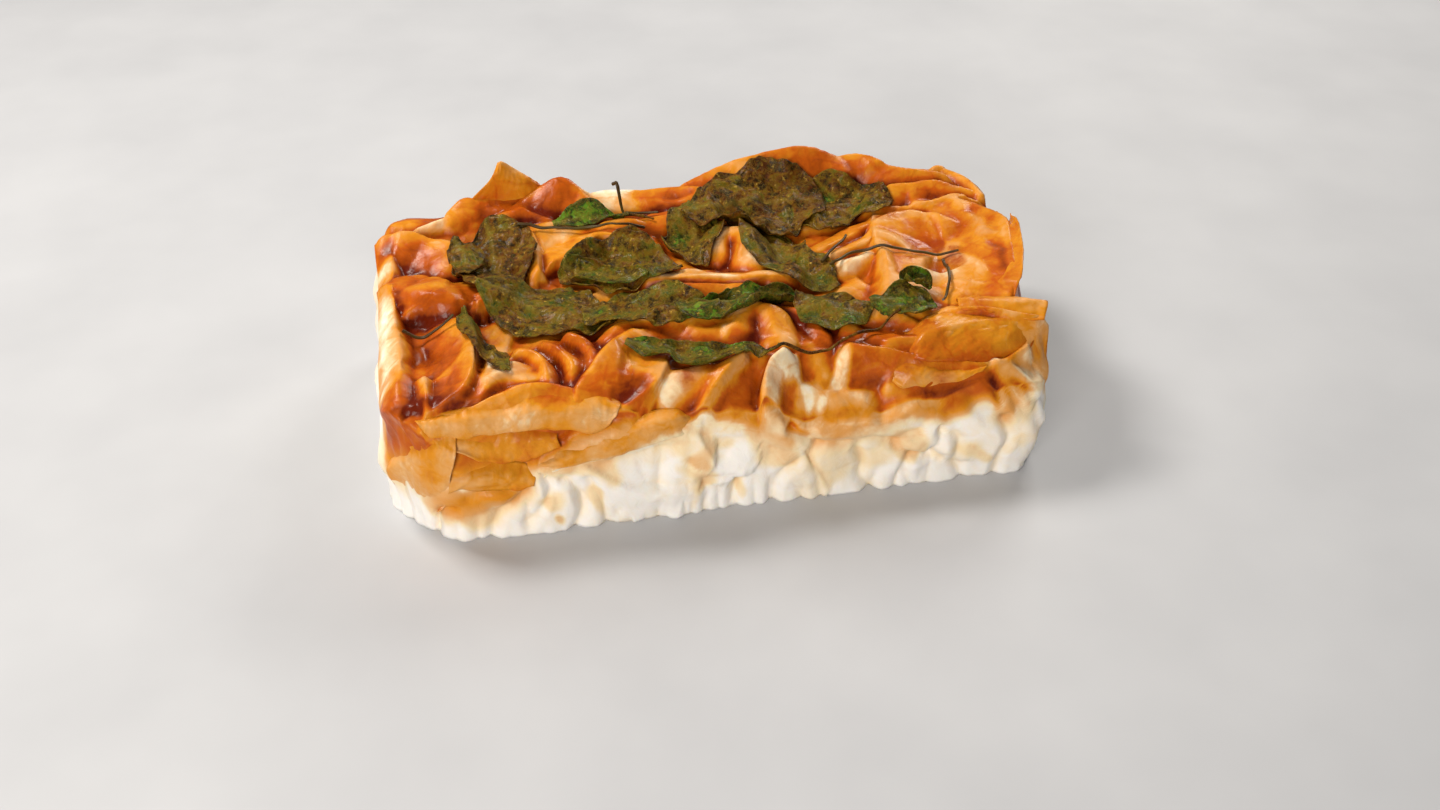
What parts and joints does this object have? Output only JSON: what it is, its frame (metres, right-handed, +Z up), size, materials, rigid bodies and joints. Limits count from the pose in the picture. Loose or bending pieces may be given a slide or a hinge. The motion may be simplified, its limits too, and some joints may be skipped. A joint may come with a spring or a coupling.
{
  "type": "spanakopita pie",
  "caption": "Oblong spinach and cheese pie in crumpled browned filo, with pleated pale walls, a flat base and baked spinach leaves and stems laid on top.",
  "frame": {"origin": "middle of the base, under the centre of the bounding box, on the surface that the pie stands on", "axes": "+X along the length to the right seen from the front, +Y to the back, +Z up"},
  "size_m": [0.2152, 0.123, 0.0682],
  "materials": {
    "filo": "crisp baked filo pastry, cream walls, orange-brown folds with an oily sheen",
    "spinach": "baked spinach leaf, dark olive green to brown, oily",
    "stalk": "thin baked spinach stem, brown to green"
  },
  "bodies": {
    "root": {"crust": "filo", "leaf_left": "spinach", "leaf_front_left": "spinach", "leaf_front_middle": "spinach", "leaf_tail": "spinach", "leaf_bright": "spinach", "leaf_curled": "spinach", "leaf_centre": "spinach", "leaf_slope": "spinach", "leaf_back_right": "spinach", "leaf_back": "spinach", "leaf_rolled": "spinach", "leaf_round": "spinach", "leaf_right": "spinach", "leaf_front": "spinach", "stem_long": "stalk", "stem_upright": "stalk", "stem_left": "stalk", "stem_fork": "stalk", "stem_right": "stalk", "stem_bent": "stalk"}
  },
  "joints": []
}
